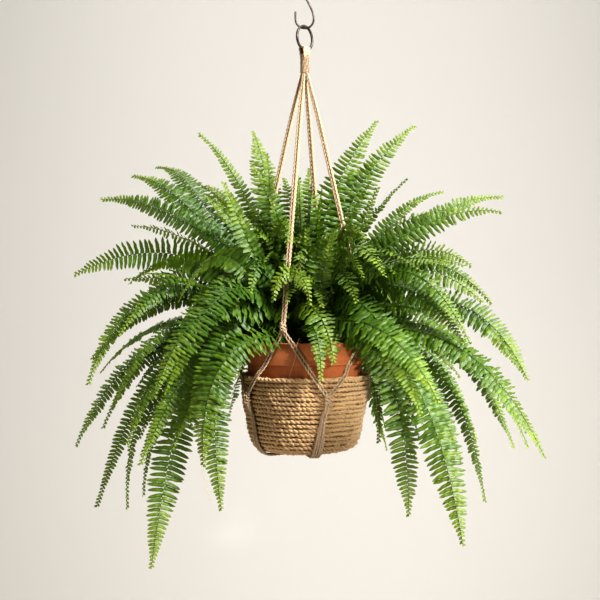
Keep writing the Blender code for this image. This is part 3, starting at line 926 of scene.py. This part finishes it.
def grow(shape, frond, base, seed, leaflets, youth_and_shade=0.0, chaos=1.0):
    """Adds a frond to the shape: its leaflets, left and right in turn, then its stalk.

    The higher its chaos, the less its leaflets lie in order.
    """
    chance = random.Random(seed)
    pitch, fill = spacing_on(frond)
    fine = [frond_point(frond, base, i / FINE) for i in range(FINE + 1)]
    lengths = [0.0]
    for a, b in zip(fine, fine[1:]):
        lengths.append(lengths[-1] + (b - a).length)
    whole = lengths[-1]
    level = around(frond.azimuth - 90, 1.0, 0.0)
    winding = chance.uniform(-24, 24) * chaos
    tone_layer = shape.verts.layers.float["tone"]
    hue_layer = shape.verts.layers.float["hue"]
    frond_hue = chance.uniform(-0.6, 0.6)
    plump = chance.random()
    share = FIRST_LEAFLET
    segment = order = 0
    while share < LAST_LEAFLET:
        distance = share * whole
        while lengths[segment + 1] < distance:
            segment += 1
        inside = (distance - lengths[segment]) / (lengths[segment + 1] - lengths[segment])
        t = (segment + inside) / FINE
        foot = fine[segment].lerp(fine[segment + 1], inside)
        way = (fine[segment + 1] - fine[segment]).normalized()
        side = (level - way * level.dot(way)).normalized()
        side = turned_to_light(side, way, frond.facing, winding * t)
        above = side.cross(way)
        spacing = max(pitch * (1.0 - 0.5 * share**2.6), CLOSEST)
        lean = math.radians(3 + 14 * share**3 + chance.uniform(-5, 5) * chaos)
        droop = math.radians(6 + chance.uniform(-9, 9) * chaos)
        twist = math.radians(LEAFLET_TILT + chance.uniform(-10, 10) * chaos)
        hand = -1 if order % 2 else 1
        along = side * hand * math.cos(lean) + way * math.sin(lean)
        along = (along * math.cos(droop) - above * math.sin(droop)).normalized()
        towards_tip = (way - along * way.dot(along)).normalized()
        face_up = along.cross(towards_tip)
        if face_up.dot(above) < 0:
            face_up = -face_up
        twisted = Matrix.Rotation(hand * twist, 3, along)
        length = frond.half_width * LEAF_REACH * blade_profile(share, plump)
        length = max(length * chance.uniform(0.93, 1.07), SHORTEST)
        breadth = min(length * 0.85, spacing * fill * chance.uniform(0.94, 1.06))
        basis = Matrix((along * length, (twisted @ towards_tip) * breadth,
                        (twisted @ face_up) * length)).transposed()
        upright, mirrored = leaflets[chance.randrange(len(leaflets))]
        before = len(shape.verts)
        shape.from_mesh(mirrored if basis.determinant() < 0 else upright)
        shape.verts.ensure_lookup_table()
        place = Matrix.Translation(foot - above * 0.4 * MM) @ basis.to_4x4()
        tone = youth_and_shade * (1 - share**3) + max(0.0, share - 0.66) * 1.25
        tone += chance.uniform(-0.12, 0.12)
        hue = frond_hue + chance.uniform(-0.3, 0.3)
        for index in range(before, len(shape.verts)):
            vert = shape.verts[index]
            vert.co = place @ vert.co
            vert[tone_layer] = tone
            vert[hue_layer] = hue
        order += 1
        share += spacing / 2 / whole
    stalk = [(fine[i], 1.0 - STALK_TAPER * i / FINE) for i in range(0, FINE + 1, 3)]
    before = len(shape.verts)
    shape.from_mesh(tube([stalk], STALK, ROUND_YARN))
    shape.verts.ensure_lookup_table()
    for index in range(before, len(shape.verts)):
        shape.verts[index][tone_layer] = youth_and_shade


def frond_shape():
    """An empty shape with the layers that the leaf material reads."""
    shape = bmesh.new()
    shape.verts.layers.float.new("tone")
    shape.verts.layers.float.new("hue")
    shape.loops.layers.uv.new("UVMap")
    return shape


def frond_piece(name, shape, *nodes):
    mesh = mesh_of(shape)
    mesh.shade_smooth()
    piece(name, mesh, leaf, "frond_leaf", *nodes)


leaf, shader, uv = new_material("fern leaflet", "UV")
tone, hue = uv.attribute("tone"), uv.attribute("hue")
along, across = (uv.add("SeparateXYZ", {}, {0: uv}, output) for output in (0, 1))
off_rib = abs(across - 0.5)
rib = 1 - off_rib.clipped(0.0, 0.09)
veins = uv.math("SINE", (along * 11 - off_rib * 7) * math.tau)
mottle = uv.on_object().cloud(110.0)
# Tone runs from dark to pale: young leaflets are paler, and fronds darkened as painted shade
# have it lowered.
depth = (hue * 0.5 + tone * 0.7 + 0.5).clipped(0.0, 1.0)
deep = depth.mix((0.019, 0.073, 0.003), (0.055, 0.120, 0.004))
green = (mottle.clipped(0.3, 0.7) + tone).clipped(0.0, 1.0).mix(deep, (0.082, 0.147, 0.008))
pale = tone.clipped(0.0, 1.0).mix(green, (0.36, 0.44, 0.04))
uv.feed(shader, {
    "Base Color": (rib * 0.45).mix(pale, (0.31, 0.39, 0.10)),
    "Roughness": 0.36 + 0.2 * mottle,
    "Specular IOR Level": 0.66,
    "Normal": (veins * 0.12 - rib * 0.6).bump(0.0006, 0.6),
})
glow = uv.add("BsdfTranslucent", {}, {"Color": (0.22, 0.37, 0.015)})
mixed = uv.add("MixShader", {}, {0: 0.2, 1: Shade(uv.tree, shader.outputs[0]), 2: glow})
uv.feed(uv.tree.nodes["Material Output"], {"Surface": mixed})

bases = frond_bases(FRONDS)
for index, frond in enumerate(FRONDS):
    number = index + 1
    shape = frond_shape()
    # Some fronds on the left get a darker green here, which is painted shade.
    grow(shape, frond, bases[index], 100 + index, flat_leaflets,
         youth_and_shade=-0.35 if number in SHADED_FRONDS else 0.0)
    frond_piece(f"frond_{number:02d}", shape, f"fern_frond_{number:02d}")

# --- Fronds between the long ones -------------------------------------------------------
# A full plant has many more fronds than the long ones: slim side fronds, shorter ones that
# fill the dome, some that hang under it, and pale new ones that crowd its heart.


def facing_less(rows):
    """Fronds from rows, which may leave out the facing, 0.7 here, and the flick."""
    return [Frond(*row, *(0.7, 0)[len(row) - 6:]) for row in rows]


def filling(count, seed, turns, reach, height, middle_height, width):
    """Fronds spread round part of the plant, each a little different.

    Those in front of the front strand stay short, so that it can be seen, and those that
    rise on the left turn away from the light.
    """
    chance = random.Random(seed)
    fronds = []
    for place in range(count):
        azimuth = turns[0] + (turns[1] - turns[0]) * (place + chance.uniform(0.1, 0.9)) / count
        tip_reach = chance.uniform(*reach)
        if abs(azimuth - UPPER_TURN[0]) < 26:
            tip_reach = min(tip_reach, 55 + chance.uniform(-15, 10))
        facing = chance.uniform(0.5, 0.9)
        tip_height = chance.uniform(*height)
        if tip_height > 60 and 200 < azimuth % 360 < 320:
            facing = -facing
        fronds.append(Frond(azimuth, tip_reach, tip_height,
                            tip_reach * chance.uniform(0.48, 0.6),
                            chance.uniform(*middle_height), chance.uniform(*width), facing))
    return fronds


def frond_group(name, fronds, seed, youth_and_shade, chaos):
    """Fronds that grow together, as one piece. The most chaotic have curly leaflets."""
    chance = random.Random(seed)
    shape = frond_shape()
    leaflets = curly_leaflets if chaos > 1.5 else plain_leaflets
    for index, frond in enumerate(fronds):
        erect = held(frond.tip_height / 300)
        base = (frond.azimuth + chance.uniform(-25, 25), math.radians(20 + 50 * erect))
        grow(shape, frond, base, 1000 * seed + index, leaflets, youth_and_shade, chaos)
    frond_piece(name, shape)


SLIM = facing_less((
    (95, 183, 304, 80, 178, 13), (120, 307, 171, 160, 150, 20),
    (66, 392, -150, 250, 35, 22, 0.7, 10), (69, 366, -155, 240, 18, 20, 0.7, 10),
    (85, 300, -160, 190, 20, 14), (-50, 110, 190, 66, 170, 20), (-14, 122, 82, 66, 116, 20),
    (14, 118, 74, 62, 112, 15), (-85, 283, -256, 219, -70, 14, 0.7, 10),
    (-80, 309, -272, 250, -59, 18, 0.7, 10), (-95, 386, -21, 214, 87, 15),
    (-110, 415, -52, 245, 50, 17), (-66, 300, 128, 190, 112, 20, 0.1),
    (-110, 346, 226, 194, 175, 24, -0.8), (-100, 195, 387, 104, 263, 15, 0.9),
    (-170, 90, 325, 45, 200, 22), (60, 216, 140, 94, 165, 22),
    (-78, 350, -130, 230, 20, 20, 0.7, 10), (-70, 340, -95, 225, 45, 22, 0.7, 10),
    (-65, 320, -150, 215, 15, 22, 0.7, 10), (75, 250, 240, 130, 185, 22),
    (110, 300, 230, 150, 190, 24), (68, 290, -30, 182, 76, 26, 0.8),
))
for part in range(3):
    frond_group(f"slim_fronds_{part + 1}", SLIM[part::3], 11 + part, 0.05, 1.2)
EDGE_ON = facing_less((
    (-62, 205, 280, 128, 215, 9, 0), (-68, 228, 192, 150, 150, 10, 0),
    (52, 190, 130, 110, 140, 13, 0), (-35, 120, 150, 70, 150, 12, 0),
))
frond_group("edge_on_fronds", EDGE_ON, 15, 0.35, 1.2)
BEHIND = facing_less((
    (165, 60, 300, 30, 200, 34), (-160, 110, 315, 55, 205, 36),
    (175, 120, 335, 60, 222, 35), (150, 125, 300, 62, 200, 38),
    (-140, 135, 305, 68, 205, 36), (-120, 210, 300, 110, 215, 36),
    (135, 190, 350, 80, 230, 36), (-150, 150, 250, 75, 190, 30),
    (-80, 95, 325, 45, 205, 36), (60, 35, 285, 22, 190, 30), (65, 170, 90, 90, 130, 20),
    (-60, 120, 215, 60, 170, 22), (38, 290, -90, 150, 85, 30),
    (-43, 320, -60, 175, 105, 32), (58, 300, 20, 165, 110, 28),
    (-68, 330, 30, 190, 120, 28), (-85, 66, 345, 50, 205, 34, 0.6),
    (-50, 78, 262, 40, 170, 32),
))
frond_group("back_fronds_1", BEHIND[::2], 16, -0.1, 1.1)
frond_group("back_fronds_2", BEHIND[1::2], 17, -0.2, 1.1)
# Azimuth of the foot, how young it is, and then the frond
OVER_STRAND = (
    (55, 0.36, -24, 128, 82, 102, 130, 23, 1.0), (-95, 0.25, 3, 138, 80, 101, 132, 21, 1.0),
    (-125, 0.36, -15, 102, 180, 66, 208, 15, 0.8),
    (-60, -0.2, -38, 150, 90, 95, 150, 20, 0.8), (-45, 0.22, 18, 152, -18, 94, 80, 28, 0.9),
    (20, 0.12, 36, 218, 122, 126, 168, 30, 1.0),
    (-110, 0.0, -62, 170, 96, 100, 146, 24, 1.0), (20, -0.1, 30, 168, 84, 98, 132, 22, 0.9),
)
shape = frond_shape()
for index, (foot, youth_and_shade, *row) in enumerate(OVER_STRAND):
    base = (foot, math.radians(50))
    grow(shape, Frond(*row), base, 500 + index, flat_leaflets, youth_and_shade, 1.3)
frond_piece("fronds_over_strand", shape)
# Pieces, fronds in all, their azimuths, tip reach and height, height halfway, half width,
# how young they are and how chaotic
GROUPS = (
    ("upright_fronds", 3, 20, (-180, 180), (90, 210), (170, 290), (130, 190), (17, 25),
     0.02, 1.2),
    ("arching_fronds", 4, 34, (35, 325), (220, 320), (10, 150), (100, 160), (22, 29),
     0.0, 1.1),
    ("hanging_fronds", 4, 30, (44, 316), (200, 310), (-210, -40), (20, 80), (22, 29),
     0.0, 1.1),
    ("inner_fronds", 5, 60, (-180, 180), (60, 185), (80, 215), (95, 185), (15, 22),
     0.12, 2.2),
)
for place, (name, parts, count, *ranges, youth_and_shade, chaos) in enumerate(GROUPS):
    fronds = filling(count, 21 + place, *ranges)
    for part in range(parts):
        frond_group(f"{name}_{part + 1}", fronds[part::parts], 31 + 7 * place + part, youth_and_shade,
                    chaos)

# --- Runners ----------------------------------------------------------------------------
# A mature plant sends out runners: bare, wiry shoots as thin as string, which trail over
# the pot's rim.

RUNNER = 1.3 * MM
# Azimuth, reach and height above the soil, from the crown to the tip
RUNNERS = (
    ((-4, 70, 6), (-5, 98, 23), (-7, 109, 12), (-9, 108, -12), (-13, 107, -34),
     (-15, 109, -46)),
    ((-60, 70, 8), (-68, 120, 26), (-76, 165, -40), (-84, 186, -130), (-86, 181, -205),
     (-81, 167, -262)),
    ((100, 70, 8), (106, 118, 22), (112, 136, -50), (110, 140, -120), (114, 148, -170)),
    ((165, 70, 8), (168, 116, 24), (172, 134, -40), (178, 138, -110), (176, 145, -150)),
    ((-150, 70, 8), (-152, 118, 26), (-158, 138, -60), (-161, 144, -140), (-159, 149, -172)),
)
routes = []
for runner in RUNNERS:
    bends = [around(azimuth, reach * MM, (SOIL_TOP + height) * MM)
             for azimuth, reach, height in runner]
    route = smooth(bends, 3 * MM)
    routes.append([(point, 1.0 - 0.5 * i / len(route)) for i, point in enumerate(route)])
runner_straw, shader, uv = new_material("bare runner", "UV")
uv.feed(shader, {
    "Base Color": uv.cloud(3.0).clipped(0.3, 0.7).mix((0.50, 0.34, 0.18), (0.70, 0.55, 0.34)),
    "Roughness": 0.6,
})
piece("runners", tube(routes, RUNNER, ROUND_YARN), runner_straw, "frond_leaf")

# --- Camera, light and backdrop ---------------------------------------------------------
# A pale paper sweep stands behind and below. The strongest light is above on the right,
# with softer ones at the plant's height, on the left and behind, which shines through the
# upper fronds. Two wash the paper, and a snoot keeps a narrow beam on the basket.

BACK, FRONT, SIDE, TOP, FLOOR = 4.0, -6.0, -9.0, 4.5, -2.9  # the paper's edges, in metres
SWEEP, SWEEP_STEPS = 0.5, 8  # the bend between its wall and its floor
shape = bmesh.new()
line = [(SIDE, BACK, TOP)]
for step in range(SWEEP_STEPS + 1):
    angle = math.pi / 2 * step / SWEEP_STEPS
    line.append((SIDE, BACK - SWEEP * (1 - math.cos(angle)),
                 FLOOR + SWEEP * (1 - math.sin(angle))))
line.append((SIDE, FRONT, FLOOR))
corners = [shape.verts.new(place) for place in line]
edges = [shape.edges.new(pair) for pair in zip(corners, corners[1:])]
drawn_out(shape, edges, (-2 * SIDE, 0, 0))
mesh = mesh_of(shape)
mesh.shade_smooth()
wall = bpy.data.objects.new("backdrop", mesh)
scene.collection.objects.link(wall)
paper, shader, where = new_material("pale paper")
where.feed(shader, {"Base Color": (0.86, 0.83, 0.78), "Roughness": 0.95})
mesh.materials.append(paper)

room = bpy.data.worlds.new("room")
scene.world = room
room.use_nodes = True
sky = room.node_tree.nodes["Background"].inputs
sky["Color"].default_value = (1.0, 0.97, 0.93, 1.0)
sky["Strength"].default_value = 0.08


def aimed(name, kind, place, target, energy, colour):
    """A lamp at a place, pointed at the target."""
    lamp = bpy.data.lights.new(name, kind)
    lamp.energy = energy
    lamp.color = colour
    made = bpy.data.objects.new(name, lamp)
    made.location = place
    made.rotation_euler = (Vector(target) - Vector(place)).to_track_quat("-Z", "Y").to_euler()
    scene.collection.objects.link(made)
    return made


def soft_light(name, place, target, size, energy, colour):
    made = aimed(name, "AREA", place, target, energy, colour)
    made.data.size = size
    made.visible_camera = False


PLANT = (0.0, 0.0, -0.65)
soft_light("key", (1.9, -1.2, -0.35), PLANT, 0.7, 21.0, (1.0, 0.96, 0.92))
soft_light("top", (1.4, -1.25, 0.95), PLANT, 0.5, 122.0, (0.95, 0.97, 1.0))
soft_light("fill", (-2.4, -1.0, 0.4), PLANT, 1.4, 12.0, (1.0, 0.98, 0.92))
soft_light("low fill", (-1.5, -1.7, -1.2), PLANT, 1.0, 10.5, (1.0, 0.94, 0.86))
soft_light("rim", (-0.3, 1.3, 1.2), PLANT, 1.0, 19.0, (1.0, 0.98, 0.92))
soft_light("wall wash", (0.2, 2.0, 1.7), (0.2, 4.0, -2.4), 4.0, 25.5, (1.0, 0.985, 0.96))
soft_light("low wash", (0.5, 1.6, -2.3), (0.5, 4.0, -0.6), 2.0, 8.5, (1.0, 0.985, 0.96))

snoot = aimed("snoot", "SPOT", (0.35, -2.0, -0.3), (0.125, -0.1, -0.74), 160.0,
              (1.0, 0.96, 0.9)).data
snoot.spot_size = math.radians(6.3)
snoot.spot_blend = 0.6
snoot.shadow_soft_size = 0.05

lens = bpy.data.cameras.new("view")
lens.lens, lens.sensor_width = 60, 36
camera = bpy.data.objects.new("view", lens)
camera.location = (-0.0083, -1.765, -0.594)
camera.rotation_euler = (math.radians(90), 0, 0)
scene.collection.objects.link(camera)
scene.camera = camera
scene.view_settings.view_transform = "Standard"
scene.view_settings.look = "High Contrast"
